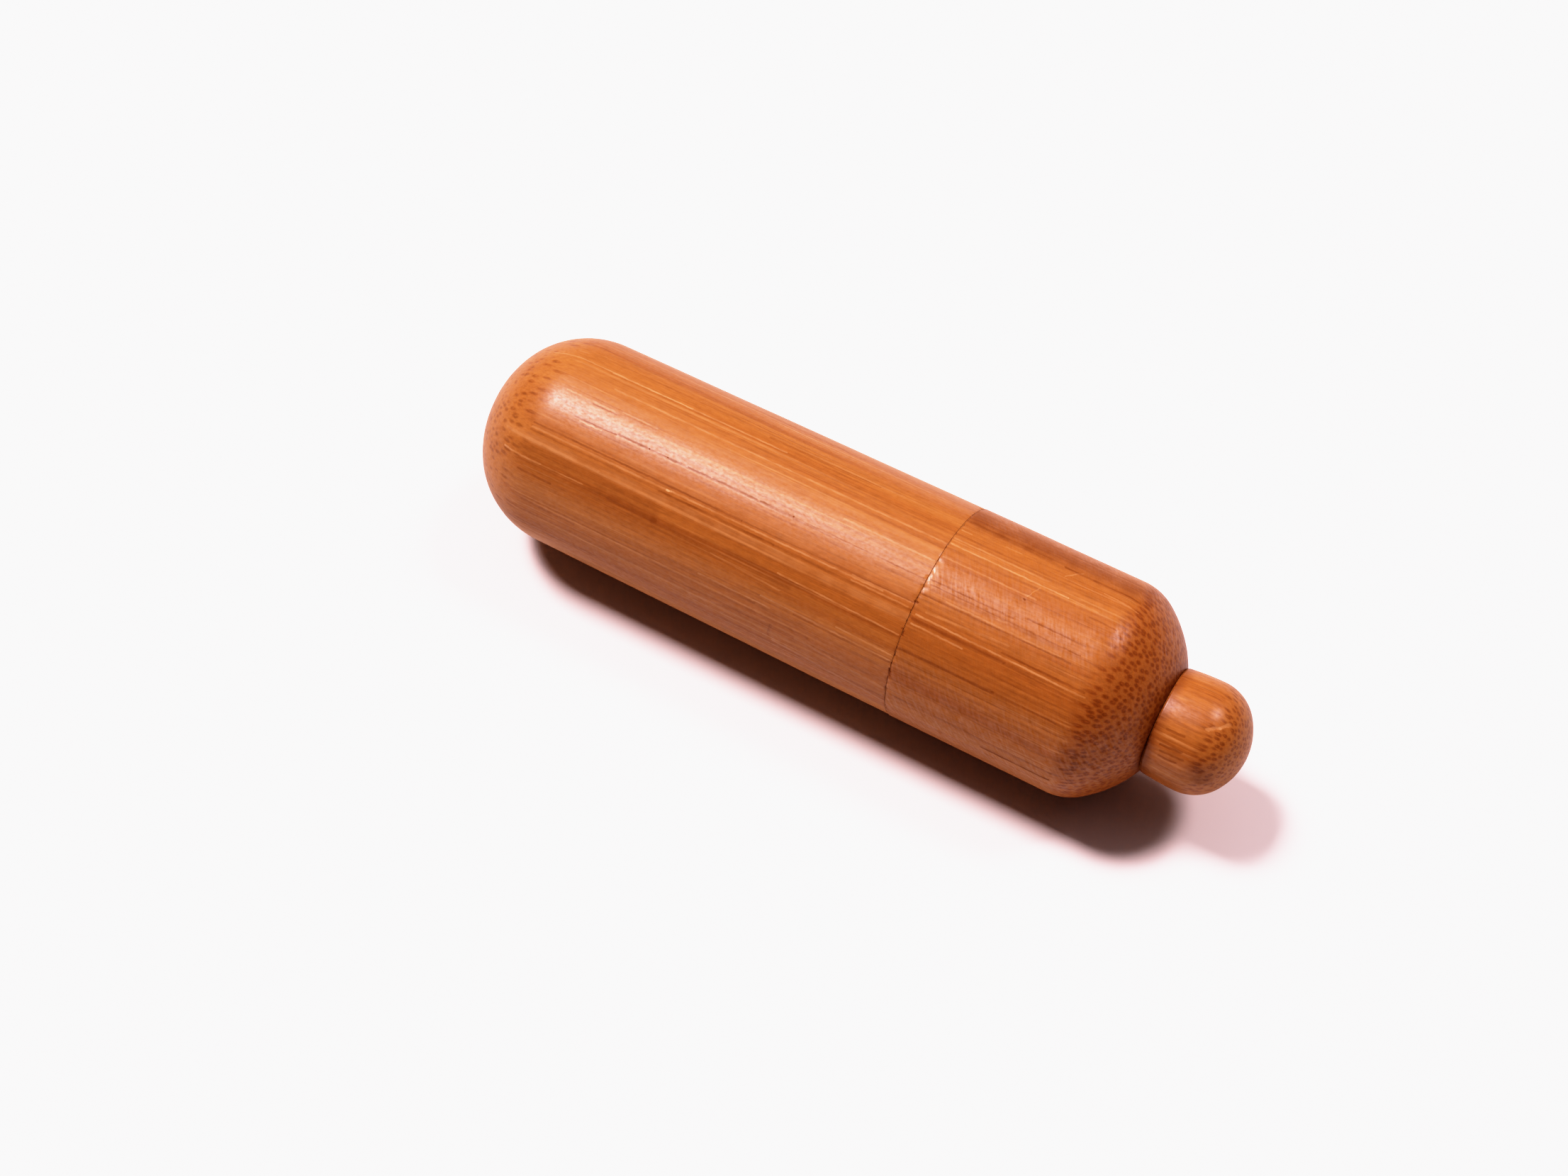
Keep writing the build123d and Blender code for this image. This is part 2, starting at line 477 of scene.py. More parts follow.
def spin_tree():
    """Geometry tree that turns an outline in the XZ plane into a closed solid round the case's axis."""
    tree = bpy.data.node_groups.new(LATHE, "GeometryNodeTree")
    tree.is_modifier = True
    tree.interface.new_socket(name="Outline", in_out="INPUT", socket_type="NodeSocketGeometry")
    for name, kind in SPIN_INPUTS:
        tree.interface.new_socket(name=name, in_out="INPUT", socket_type=kind)
    tree.interface.new_socket(name="Piece", in_out="OUTPUT", socket_type="NodeSocketGeometry")
    graph = Graph(tree)
    given = tree.nodes.new("NodeGroupInput")
    put = {socket.name: Wire(graph, socket) for socket in given.outputs if socket.name}

    # A grid with a row for each point of the outline, and one column more than the facets to close the turn
    rows = graph.add("GeometryNodeAttributeDomainSize", None, {"Geometry": put["Outline"]})
    columns = put["Facets"] + 1
    grid = graph.add("GeometryNodeMeshGrid", None, {"Vertices X": rows, "Vertices Y": columns})
    index = graph.add("GeometryNodeInputIndex")
    row = (index + 0.5) // columns
    turn = ((index - row * columns) % put["Facets"]) * math.tau / put["Facets"]

    def from_outline(kind, value):
        sockets = {"Geometry": put["Outline"], "Value": value, "Index": row}
        return graph.add("GeometryNodeSampleIndex", {"data_type": kind}, sockets)

    for name in ("polish", "end_grain"):
        value = graph.add("GeometryNodeInputNamedAttribute", {"data_type": "FLOAT"}, {"Name": name})
        sockets = {"Geometry": grid, "Name": name, "Value": from_outline("FLOAT", value)}
        stored = {"data_type": "FLOAT", "domain": "POINT"}
        grid = graph.add("GeometryNodeStoreNamedAttribute", stored, sockets)
    drawn = from_outline("FLOAT_VECTOR", graph.add("GeometryNodeInputPosition"))
    along = graph.add("ShaderNodeSeparateXYZ", None, {0: drawn}, 0)
    away = graph.add("ShaderNodeSeparateXYZ", None, {0: drawn}, 2)
    across = away * graph.add("ShaderNodeMath", {"operation": "SINE"}, {0: turn})
    height = away * graph.add("ShaderNodeMath", {"operation": "COSINE"}, {0: turn}) + put["Axis height"]
    place = graph.add("ShaderNodeCombineXYZ", None, {0: along, 1: across, 2: height})
    spun = graph.add("GeometryNodeSetPosition", None, {"Geometry": grid, "Position": place})
    spun = graph.add("GeometryNodeMergeByDistance", None, {"Geometry": spun, "Distance": MERGE_DISTANCE})

    # Wear goes inwards only, so the piece stays within its turned size
    position = graph.add("GeometryNodeInputPosition")
    axis = graph.add("ShaderNodeCombineXYZ", None, {2: put["Axis height"]})
    round_axis = graph.vector("SCALE", graph.vector("SUBTRACT", position, axis))
    round_axis.socket.node.inputs["Scale"].default_value = 1 / MM
    shift = graph.add("ShaderNodeCombineXYZ", None, {0: put["Seed"], 1: put["Seed"], 2: put["Seed"]})
    seeded = graph.vector("ADD", round_axis, shift)
    polish = graph.add("GeometryNodeInputNamedAttribute", {"data_type": "FLOAT"}, {"Name": "polish"})
    cut = graph.add("GeometryNodeInputNamedAttribute", {"data_type": "FLOAT"}, {"Name": "end_grain"})
    x = graph.add("ShaderNodeSeparateXYZ", None, {0: round_axis}, 0)
    sanding = graph.noise(seeded, (0.11, 0.2, 0.2)) * put["Hand sanding"]
    ridges = graph.noise(seeded, (0.05, 1.7, 1.7), 2.0) * put["Fibre ridges"] * (1 - cut)
    pores = graph.noise(seeded, (1.0, 1.6, 1.6), 1.0) * put["End pores"] * cut
    near_seam = abs(x - put["Seam"]).fade(0.35, 0.0)
    chips = graph.noise(seeded, (0.4, 1.3, 1.3), 3.0).fade(0.5, 0.75) * near_seam * put["Rim wear"]
    depth = (sanding + ridges + pores + chips) * polish * -MM
    inwards = graph.vector("SCALE", graph.add("GeometryNodeInputNormal"))
    graph.tree.links.new(depth.socket, inwards.socket.node.inputs["Scale"])
    worn = graph.add("GeometryNodeSetPosition", None, {"Geometry": spun, "Offset": inwards})

    faces = {"Geometry": worn, "Shade Smooth": True}
    smooth = graph.add("GeometryNodeSetShadeSmooth", {"domain": "FACE"}, faces)
    sharp = graph.add("GeometryNodeInputMeshEdgeAngle") > CREASE_ANGLE
    edges = {"Geometry": smooth, "Selection": sharp, "Shade Smooth": False}
    creased = graph.add("GeometryNodeSetShadeSmooth", {"domain": "EDGE"}, edges)
    real = graph.add("GeometryNodeRealizeInstances", None, {"Geometry": creased})
    finished = graph.add("GeometryNodeSetMaterial", None, {"Geometry": real, "Material": put["Finish"]})
    graph.add("NodeGroupOutput", None, {"Piece": finished})
    return tree


def turned_piece(name, outline, inputs):
    """Runs an outline through the lathe tree and gives the piece as a plain mesh object."""
    piece = bpy.data.objects.new(name, outline.mesh(name + "_outline"))
    bpy.context.scene.collection.objects.link(piece)
    lathe = piece.modifiers.new("Lathe", "NODES")
    lathe.node_group = bpy.data.node_groups.get(LATHE) or spin_tree()
    sockets = {item.name: item.identifier for item in lathe.node_group.interface.items_tree}
    for label, value in inputs.items():
        lathe[sockets[label]] = value
    graph = bpy.context.evaluated_depsgraph_get()
    turned = piece.evaluated_get(graph)
    solid = bpy.data.meshes.new_from_object(turned, preserve_all_data_layers=True, depsgraph=graph)
    piece.modifiers.remove(lathe)
    piece.data = solid
    solid.name = name
    if not solid.polygons:
        raise RuntimeError(f"{name} came off the lathe with no faces")
    return piece


# --- Bamboo ----------------------------------------------------------------------------------------


class Mark(NamedTuple):
    """A line, band, scratch or dent. Its ends are (along from the seam, degrees from the top towards -Y)."""

    start: tuple
    end: tuple
    width: float
    tone: float  # Below 0 is darker than the wood, above 0 paler
    depth: float = 0.0


class Billet(NamedTuple):
    """The stick of bamboo that a piece is turned from, with its marks. Lengths are in millimetres."""

    name: str
    wear_seed: float  # Moves the wear, as the next one moves the bamboo
    seed: float
    turn: float  # Of the bamboo about the case's axis, in degrees
    toast: float  # Share of russet in all of it, and then in its cut ends besides
    end_toast: float
    dot_spacing: float  # Of the fibre bundles, and how dark they are where they are cut
    dot_contrast: float
    streak_length: float
    wrinkles: float  # Of its lacquer, and how strong that is
    gloss: float
    radius: float  # Of the surface that its marks lie on
    marks: tuple


BODY_BILLET = Billet(
    name="bamboo_body",
    wear_seed=11.0,
    seed=3.0,
    turn=20.0,
    toast=0.05,
    end_toast=0.15,
    dot_spacing=0.5,
    dot_contrast=0.42,
    streak_length=60.0,
    wrinkles=0.1,
    gloss=1.0,
    radius=9.95,
    marks=(
        # Pale fibres over the top
        Mark((-41.0, -13.4), (-16.8, -12.8), 0.13, 0.42),
        Mark((-34.7, -12.6), (-26.5, -13.0), 0.10, 0.3),
        Mark((-33.5, -3.0), (-0.3, -2.6), 0.14, 0.35),
        Mark((-38.5, 3.2), (-0.3, 3.6), 0.35, 0.14),
        Mark((-9.0, 9.1), (-0.3, 9.1), 0.14, 0.4),
        Mark((-37.2, 8.8), (-32.2, 9.0), 0.12, 0.3),
        Mark((-34.4, 10.1), (-31.9, 10.1), 0.12, -0.45),
        Mark((-31.5, 7.2), (-28.0, 7.3), 0.11, 0.3),
        Mark((-31.2, 8.3), (-28.0, 8.4), 0.11, -0.3),
        Mark((-19.0, -18.3), (-8.0, -18.5), 0.16, -0.35),
        # The open crack
        Mark((-35.2, 20.3), (-30.9, 20.0), 0.11, -0.5, 0.5),
        Mark((-30.7, 19.3), (-27.5, 19.2), 0.15, -0.48, 1.0),
        Mark((-27.5, 19.2), (-25.7, 19.3), 0.10, -0.5, 0.4),
        Mark((-25.6, 19.5), (-24.3, 19.4), 0.15, -0.48, 1.0),
        Mark((-23.6, 19.3), (-21.3, 19.2), 0.13, -0.45, 0.7),
        Mark((-21.0, 19.1), (-16.7, 19.2), 0.14, -0.46, 1.0),
        Mark((-16.3, 19.2), (-13.0, 19.1), 0.13, -0.48, 0.8),
        Mark((-13.0, 19.3), (-0.3, 19.5), 0.10, -0.4, 0.3),
        Mark((-34.6, 21.4), (-32.4, 21.3), 0.10, 0.5),
        Mark((-30.9, 20.4), (-13.0, 20.5), 0.10, 0.25),
        # Dark and pale bands on the near side
        Mark((-38.0, 22.9), (-0.3, 23.0), 0.13, -0.25),
        Mark((-38.0, 29.8), (0.0, 29.8), 0.9, 0.12),
        Mark((-38.5, 32.0), (-17.0, 32.1), 0.13, -0.45),
        Mark((-17.0, 32.1), (0.0, 32.1), 0.12, -0.3),
        Mark((-38.5, 34.3), (-24.0, 34.2), 0.14, 0.3),
        Mark((-24.0, 34.0), (-3.0, 33.6), 0.12, 0.4),
        Mark((-24.4, 34.3), (-24.2, 34.3), 0.14, 0.9, -0.5),
        Mark((-6.0, 32.7), (-0.4, 32.7), 0.10, 0.3),
        Mark((-6.0, 35.2), (-0.4, 35.2), 0.10, 0.3),
        Mark((-38.5, 36.0), (0.0, 36.2), 0.14, -0.25),
        Mark((-25.0, 36.5), (-13.5, 36.4), 0.18, -0.25),
        Mark((-41.0, 40.2), (0.0, 40.2), 0.6, 0.2),
        Mark((-41.0, 40.9), (-31.0, 40.8), 0.2, 0.22),
        Mark((-38.5, 46.0), (-25.0, 46.0), 1.1, -0.2),
        Mark((-29.2, 51.3), (-24.5, 51.5), 0.4, -0.22),
        Mark((-24.5, 52.0), (-11.0, 52.0), 0.6, -0.2),
        Mark((-40.5, 51.0), (-36.5, 50.8), 0.14, 0.6),
        Mark((-36.5, 50.8), (-32.0, 50.6), 0.11, 0.3),
        Mark((-12.2, 48.1), (-0.3, 49.8), 0.12, 0.4),
        Mark((-18.5, 54.0), (-11.5, 56.2), 0.12, 0.25),
        Mark((-38.5, 58.2), (-35.0, 58.3), 0.15, -0.35),
        Mark((-5.7, 60.6), (-0.3, 61.3), 0.12, 0.35),
        Mark((-13.0, 63.3), (-0.3, 64.6), 0.12, 0.3),
        Mark((-9.7, 65.0), (-0.3, 65.7), 0.16, -0.35),
        Mark((-19.2, 67.8), (-12.0, 67.9), 0.12, 0.3),
        Mark((-17.0, 69.2), (-13.5, 69.3), 0.15, -0.25),
        Mark((-24.0, 74.3), (-8.0, 75.0), 0.2, -0.25),
        Mark((-38.5, 75.0), (-32.0, 75.2), 0.2, -0.3),
        # Folds and a dent low on the near side
        Mark((-11.5, 78.5), (-11.7, 85.5), 0.25, -0.25, 1.5),
        Mark((-9.0, 78.8), (-0.3, 83.5), 0.22, 0.15, -1.5),
        Mark((-11.2, 88.5), (-0.3, 94.2), 0.24, 0.15, -1.5),
        Mark((-19.7, 84.0), (-16.5, 80.5), 0.22, 0.1, -1.2),
        # Chips in the mouth's edge
        Mark((-0.12, 31.4), (0.1, 31.6), 0.13, -0.8, 1.0),
        Mark((-0.2, 46.0), (0.0, 46.4), 0.12, -0.7, 1.0),
        Mark((-0.1, 69.0), (0.1, 72.2), 0.12, -0.7, 1.0),
    ),
)
CAP_BILLET = Billet(
    name="bamboo_cap",
    wear_seed=23.0,
    seed=47.0,
    turn=75.0,
    toast=0.25,
    end_toast=1.0,
    dot_spacing=0.45,
    dot_contrast=0.47,
    streak_length=45.0,
    wrinkles=1.5,
    gloss=0.92,
    radius=10.05,
    marks=(
        # Dark bands over the far side: partly darker wood, partly painted shade that darkens the cap's far
        # side
        Mark((0.5, -40.5), (16.0, -40.5), 3.0, -0.22),
        Mark((0.5, -32.0), (15.5, -32.0), 2.6, -0.28),
        Mark((0.5, -24.5), (15.0, -24.5), 1.6, -0.2),
        Mark((0.6, -23.0), (8.0, -22.5), 0.5, -0.25),
        Mark((9.5, -22.0), (16.5, -22.0), 0.16, -0.4),
        # Pale fibres over the top
        Mark((0.2, -14.6), (1.2, -14.5), 0.12, 0.45),
        Mark((4.3, -17.1), (5.7, -17.0), 0.12, 0.3),
        Mark((13.7, -16.0), (16.8, -14.8), 0.12, 0.3),
        Mark((0.2, -7.6), (9.0, -7.5), 0.13, 0.25),
        Mark((0.2, -3.6), (11.3, -3.5), 0.11, 0.5),
        Mark((11.3, -3.5), (14.0, -3.0), 0.10, 0.25),
        Mark((13.7, 1.4), (16.2, 1.5), 0.12, -0.35),
        Mark((0.2, 5.0), (9.0, 5.1), 0.12, 0.25),
        # Scratches
        Mark((11.0, -23.4), (10.0, -15.6), 0.10, 0.5, 0.6),
        Mark((8.85, -2.0), (8.2, 5.3), 0.08, 0.25, 0.5),
        Mark((8.1, 7.4), (8.2, 7.6), 0.14, -0.7, 1.0),
        # Dark and pale lines on the near side
        Mark((9.2, 15.8), (14.5, 16.0), 0.12, -0.45),
        Mark((0.3, 18.5), (8.0, 18.7), 0.13, -0.45),
        Mark((0.5, 20.8), (14.5, 21.2), 0.12, -0.4),
        Mark((6.9, 22.2), (7.8, 22.0), 0.12, 0.3, 0.4),
        Mark((2.3, 25.3), (13.2, 25.6), 0.10, 0.3),
        Mark((0.3, 26.6), (14.0, 26.5), 0.12, -0.35),
        Mark((1.2, 34.0), (8.8, 31.4), 0.15, 0.2),
        Mark((0.4, 36.9), (16.3, 38.4), 0.12, 0.5),
        Mark((8.5, 35.8), (16.2, 36.3), 0.15, -0.5),
        Mark((0.3, 39.4), (9.0, 39.8), 0.25, -0.4),
        Mark((9.0, 40.2), (16.5, 41.5), 0.14, -0.35),
        Mark((0.4, 41.8), (5.3, 42.3), 0.12, 0.4),
        Mark((0.2, 55.7), (9.0, 55.8), 0.22, -0.35),
        Mark((9.0, 55.5), (15.0, 56.0), 0.14, -0.3),
        Mark((0.2, 61.4), (16.0, 61.6), 0.12, -0.3),
        Mark((0.2, 68.8), (15.0, 68.6), 0.12, -0.3),
        Mark((0.5, 76.0), (15.0, 76.6), 0.12, -0.3),
        Mark((1.0, 85.5), (16.0, 86.5), 0.13, -0.25),
        Mark((9.4, 92.9), (15.8, 93.2), 0.2, -0.7),
        # A pale patch on the rim that is partly wear and partly a painted highlight, and chips in the rim
        Mark((0.2, 10.0), (0.25, 21.0), 0.7, 0.2),
        Mark((0.0, 31.2), (0.2, 31.6), 0.14, -0.8, 1.0),
        Mark((0.05, 47.0), (0.1, 49.0), 0.14, -0.7, 0.8),
        Mark((0.05, 69.0), (0.1, 73.0), 0.12, -0.7, 1.0),
    ),
)
KNOB_BILLET = Billet(
    name="bamboo_knob",
    wear_seed=37.0,
    seed=91.0,
    turn=-40.0,
    toast=0.1,
    end_toast=0.4,
    dot_spacing=0.42,
    dot_contrast=0.55,
    streak_length=14.0,
    wrinkles=0.3,
    gloss=1.0,
    radius=5.1,
    marks=(
        Mark((26.3, 62.0), (27.3, 78.0), 1.1, -0.35),
        Mark((25.95, 22.3), (26.8, 15.1), 0.2, 0.3, 0.7),
        Mark((26.8, 15.1), (27.4, 4.7), 0.2, 0.3, 0.7),
        Mark((22.9, 38.8), (24.5, 37.9), 0.16, -0.45, 0.5),
        Mark((22.9, 55.2), (24.8, 53.4), 0.17, -0.5, 0.5),
        Mark((23.1, 61.0), (25.2, 60.0), 0.16, -0.4, 0.4),
        Mark((23.2, 67.0), (24.6, 66.4), 0.16, -0.45, 0.4),
    ),
)


def mark_mask(graph, place, billet, mark):
    """1 along a mark and 0 away from it, from a place as (along from the seam, around from the top)."""
    ends = (mark.start, mark.end)
    start, end = (Vector((along, billet.radius * math.radians(turn), 0.0)) for along, turn in ends)
    run = end - start
    from_start = graph.vector("SUBTRACT", place, tuple(start))
    along_run = graph.vector("DOT_PRODUCT", from_start, tuple(run), output="Value")
    share = {0: along_run, 1: 1 / run.length_squared}
    share = graph.add("ShaderNodeMath", {"operation": "MULTIPLY", "use_clamp": True}, share)
    nearest = graph.add("ShaderNodeVectorMath", {"operation": "SCALE"}, {0: tuple(run), "Scale": share})
    away = graph.vector("DISTANCE", from_start, nearest, output="Value")
    return away.fade(mark.width, mark.width * 0.3)


def bamboo(finish, at, billet):
    """Lacquered carbonized bamboo as a solid, so that sides show streaks and ends show cut fibre bundles."""
    material = bpy.data.materials.new(billet.name)
    material.use_nodes = True
    material.node_tree.nodes.clear()
    graph = Graph(material.node_tree)
    place = graph.add("ShaderNodeTexCoord", None, None, "Object")
    from_axis = graph.vector("SUBTRACT", place, (0, 0, at.axis_height * MM))
    from_axis = graph.vector("MULTIPLY", from_axis, (1 / MM,) * 3)
    seed = billet.seed
    settings = {"Vector": from_axis, "Location": (seed, seed * 0.7, -seed * 0.4)}
    settings["Rotation"] = (math.radians(billet.turn), 0, 0)
    turned = graph.add("ShaderNodeMapping", {"vector_type": "POINT"}, settings)
    polish = graph.add("ShaderNodeAttribute", {"attribute_name": "polish"}, None, "Fac")
    cut = graph.add("ShaderNodeAttribute", {"attribute_name": "end_grain"}, None, "Fac")
    squarely = cut.fade(0.06, 0.36)

    # Fibres run along the axis and hardly wander
    drift = graph.vector("SUBTRACT", graph.noise(turned, (0.02, 0.08, 0.08), 1.0, "Color"), (0.5, 0.5, 0.5))
    wood = graph.vector("ADD", turned, graph.vector("MULTIPLY", drift, (0.0, 1.0, 1.0)))

    def grain(length, width, detail=2.0, shift=0.0):
        moved = graph.vector("ADD", wood, (0, shift, shift))
        return graph.noise(moved, (1 / length, 1 / width, 1 / width), detail)

    def strands(length, width, shift):
        """A random number for each long strand, and the distance from the strand's middle."""
        moved = graph.vector("MULTIPLY", wood, (1 / length, 1 / width, 1 / width))
        moved = graph.vector("ADD", moved, (shift, shift * 1.3, -shift))
        cells = graph.add("ShaderNodeTexVoronoi", None, {"Vector": moved, "Scale": 1.0}, "Color")
        chance = graph.add("ShaderNodeSeparateXYZ", None, {0: cells})
        return chance, Wire(graph, cells.socket.node.outputs["Distance"])

    def lines(length, width, shift, share):
        """Straight thin lines in that share of the strands."""
        chance, middle = strands(length, width, shift)
        return chance.fade(1 - share, 1.04 - share) * middle.fade(0.5, 0.18)

    length = billet.streak_length
    bands = grain(110, 3.0, 2.0).fade(0.36, 0.66)
    deep_bands = grain(80, 1.6, 2.0, 31.0).fade(0.5, 0.72)
    streaks = grain(length, 0.7, 2.0, 7.0).fade(0.3, 0.7)
    fine_streaks = grain(length * 0.4, 0.25, 1.0, 57.0)
    fibres = grain(3.5, 0.1, 1.0, 13.0)
    bright_lines = lines(length, 0.4, 3.0, 0.22) + lines(length * 0.4, 0.24, 19.0, 0.2)
    dark_lines = lines(length * 0.8, 0.42, 23.0, 0.2) + lines(length * 0.3, 0.25, 29.0, 0.2)

    # Cut fibre bundles: a dark crescent round a paler core
    spacing = billet.dot_spacing
    bundled = graph.vector("MULTIPLY", wood, (1 / BUNDLE_LENGTH, 1 / spacing, 1 / spacing))
    settings = {"Vector": bundled, "Scale": 1.0, "Randomness": 0.7}
    cells = graph.add("ShaderNodeTexVoronoi", None, settings, "Distance")
    centre = Wire(graph, cells.socket.node.outputs["Position"])
    inside = graph.vector("SUBTRACT", graph.vector("SUBTRACT", bundled, centre), (0.0, 0.03, 0.12))
    core = graph.vector("LENGTH", inside, output="Value").fade(0.24, 0.08)
    bundle = cells.fade(0.48, 0.2) * (1 - core * 0.7)
    halo = cells.fade(0.3, 0.6)

    # Places round the axis, for the marks, among them painted shade and a painted highlight, and for the
    # grime
    axes = [graph.add("ShaderNodeSeparateXYZ", None, {0: from_axis}, i) for i in range(3)]
    radius = graph.vector("LENGTH", graph.vector("MULTIPLY", from_axis, (0, 1, 1)), output="Value")
    around = graph.add("ShaderNodeMath", {"operation": "ARCTAN2"}, {0: axes[1] * -1.0, 1: axes[2]})
    unrolled = graph.add("ShaderNodeCombineXYZ", None, {0: axes[0] - at.seam, 1: around * billet.radius})
    shaken = graph.vector("SUBTRACT", graph.noise(from_axis, (1.8, 1.8, 1.8), 3.0, "Color"), (0.5, 0.5, 0.5))
    unrolled = graph.vector("ADD", unrolled, graph.vector("MULTIPLY", shaken, (0.5, 0.16, 0.0)))
    broken = graph.noise(from_axis, (0.6, 0.4, 0.4), 3.0).fade(0.3, 0.65)
    pale_marks_and_highlight, dark_marks_and_shade, dents = 0.0, 0.0, 0.0
    for mark in billet.marks:
        mask = mark_mask(graph, unrolled, billet, mark)
        if mark.tone > 0:
            pale_marks_and_highlight = mask * mark.tone + pale_marks_and_highlight
        else:
            dark_marks_and_shade = mask * -mark.tone + dark_marks_and_shade
        if mark.depth:
            dents = mask * mark.depth + dents
    pale_marks_and_highlight = pale_marks_and_highlight * (broken * 0.6 + 0.4)
    dark_marks_and_shade = dark_marks_and_shade * (broken * 0.4 + 0.6)

    def near_ring(along, away, reach):
        to_ring = graph.add("ShaderNodeCombineXYZ", None, {0: axes[0] - along, 1: radius - away})
        return graph.vector("LENGTH", to_ring, output="Value").fade(reach, 0.0)

    # Grime sits in the seam. Round the knob's seat, grime and a painted shade of the knob darken the cap
    ragged = graph.noise(from_axis, (1.5, 1.5, 1.5), 2.0).fade(0.3, 0.6)
    seam_grime = near_ring(at.seam, at.cap_radius - SEAM_GRIME_DEPTH, SEAM_GRIME_REACH) * ragged * 0.8
    grime_and_shade = seam_grime + near_ring(at.seat, SEAT_GRIME_AND_SHADE_RADIUS, SEAT_GRIME_AND_SHADE_REACH) * 0.55

    side = graph.mix(bands, tuple(finish.honey), tuple(finish.caramel))
    side = graph.mix(deep_bands * 0.5 + billet.toast, side, tuple(finish.russet))
    side = graph.mix(streaks * 0.35, side, tuple(finish.honey))
    end = graph.mix(billet.end_toast, side, tuple(finish.russet))
    side = graph.mix((1 - fine_streaks) * 0.25, side, tuple(finish.russet))
    side = graph.mix(bright_lines * 0.2, side, tuple(finish.straw))
    side = graph.mix(dark_lines * 0.22, side, tuple(finish.bark))
    side = graph.mix(bundle * 0.22, side, tuple(finish.bark))
    end = graph.mix(halo * 0.35, end, tuple(finish.honey))
    end = graph.mix(bundle * billet.dot_contrast, end, tuple(finish.bark))
    colour = graph.mix(squarely, side, end)
    mottle = (fibres - 0.5) * 0.4 + (graph.noise(from_axis, (1.3, 3.2, 3.2), 2.0) - 0.5) * 0.35 + 1.0
    shade = graph.add("ShaderNodeCombineXYZ", None, {0: mottle, 1: mottle, 2: mottle})
    colour = graph.mix(1.0, colour, shade, "MULTIPLY")
    # Pale marks include a painted highlight on the cap's rim
    colour = graph.mix(pale_marks_and_highlight, colour, tuple(finish.straw))
    # Dark marks include painted shade over the cap's far side, and the grime includes painted shade round
    # the knob's seat
    colour = graph.mix(dark_marks_and_shade + grime_and_shade, colour, tuple(finish.bark))
    raw = graph.mix((1 - fine_streaks) * 0.5 + dark_lines * 0.25, tuple(finish.raw), tuple(finish.caramel))
    raw = graph.mix(bundle * squarely * 0.45, graph.mix(1.0, raw, shade, "MULTIPLY"), tuple(finish.bark))
    colour = graph.mix(polish, raw, colour)

    # The lacquer is thin over the flecks of the grain, and wrinkled on the cap
    flecks = graph.noise(from_axis, (2.6, 4.5, 4.5), 2.0) - 0.5
    slanted = {0: axes[0] - around * billet.radius * 0.5, 1: around * billet.radius}
    slanted = graph.add("ShaderNodeCombineXYZ", None, slanted)
    wrinkles = (graph.noise(slanted, (3.8, 0.9, 1.0), 2.0) - 0.5) * billet.wrinkles
    lacquer = (1 + flecks * 2.0 + wrinkles * 2.4 + pale_marks_and_highlight) * dark_marks_and_shade.fade(0.7, 0.15) * billet.gloss
    height = fibres * 0.4 + fine_streaks * 0.3 + wrinkles + flecks * 0.7 - bundle * squarely * 0.5 - dents
    relief = {"Strength": 0.5, "Distance": BUMP_DEPTH * MM, "Height": height}
    bump = graph.add("ShaderNodeBump", None, relief)
    surface = {
        "Base Color": colour,
        "Roughness": 0.62 - polish * 0.17 + (fibres - 0.5) * 0.12,
        "Coat Weight": polish * finish.lacquer * lacquer,
        "Coat Roughness": finish.lacquer_roughness,
        "Coat IOR": 2.0,
        "Specular IOR Level": 0.06,
        "Normal": bump,
    }
    shader = graph.add("ShaderNodeBsdfPrincipled", None, surface)
    graph.add("ShaderNodeOutputMaterial", None, {"Surface": shader})
    return material


# --- Operators -------------------------------------------------------------------------------------


def fit_to_frame(piece, node):
    """Puts a finished piece in place of its CAD node, on that node's body."""
    body = next(name for name, members in frame["record"]["behaviour"]["bodies"].items() if node in members)
    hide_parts(node)
    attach(piece, body)


def turned_bamboo(name, draw, billet, sizes, finish, facets):
    """Turns a piece from its billet, to the outline that draw gives."""
    at = Places(sizes)
    inputs = {
        "Facets": facets,
        "Axis height": at.axis_height * MM,
        "Hand sanding": sizes.hand_sanding,
        "Fibre ridges": sizes.fibre_ridges,
        "End pores": sizes.end_pores,
        "Rim wear": sizes.rim_wear,
        "Seam": at.seam,
        "Seed": billet.wear_seed,
        "Finish": bamboo(finish, at, billet),
    }
    return turned_piece(name, draw(sizes, at), inputs)


class NEEDLECASE_OT_turn_body(Operator):
    """Turns the domed body with its tenon and needle well"""

    bl_idname = "needle_case.turn_body"
    bl_label = "Turn the body"

    def execute(self, context):
        sizes, finish = context.scene.needle_case_sizes, context.scene.needle_case_finish
        piece = turned_bamboo("turned_body", body_outline, BODY_BILLET, sizes, finish, sizes.facets)
        fit_to_frame(piece, "case_body")
        return {"FINISHED"}


class NEEDLECASE_OT_turn_cap(Operator):
    """Turns the domed cap with its socket and cavity"""

    bl_idname = "needle_case.turn_cap"
    bl_label = "Turn the cap"

    def execute(self, context):
        sizes, finish = context.scene.needle_case_sizes, context.scene.needle_case_finish
        piece = turned_bamboo("turned_cap", cap_outline, CAP_BILLET, sizes, finish, sizes.facets)
        fit_to_frame(piece, "cap")
        return {"FINISHED"}


class NEEDLECASE_OT_turn_knob(Operator):
    """Turns the pull knob with its dowel"""

    bl_idname = "needle_case.turn_knob"
    bl_label = "Turn the pull knob"

    def execute(self, context):
        sizes, finish = context.scene.needle_case_sizes, context.scene.needle_case_finish
        piece = turned_bamboo("turned_knob", knob_outline, KNOB_BILLET, sizes, finish, sizes.knob_facets)
        fit_to_frame(piece, "pull_knob")
        return {"FINISHED"}


def direction(turn, height):
    """Unit vector at a bearing from +X and a height above the floor."""
    return Vector((math.cos(turn) * math.cos(height), math.sin(turn) * math.cos(height), math.sin(height)))


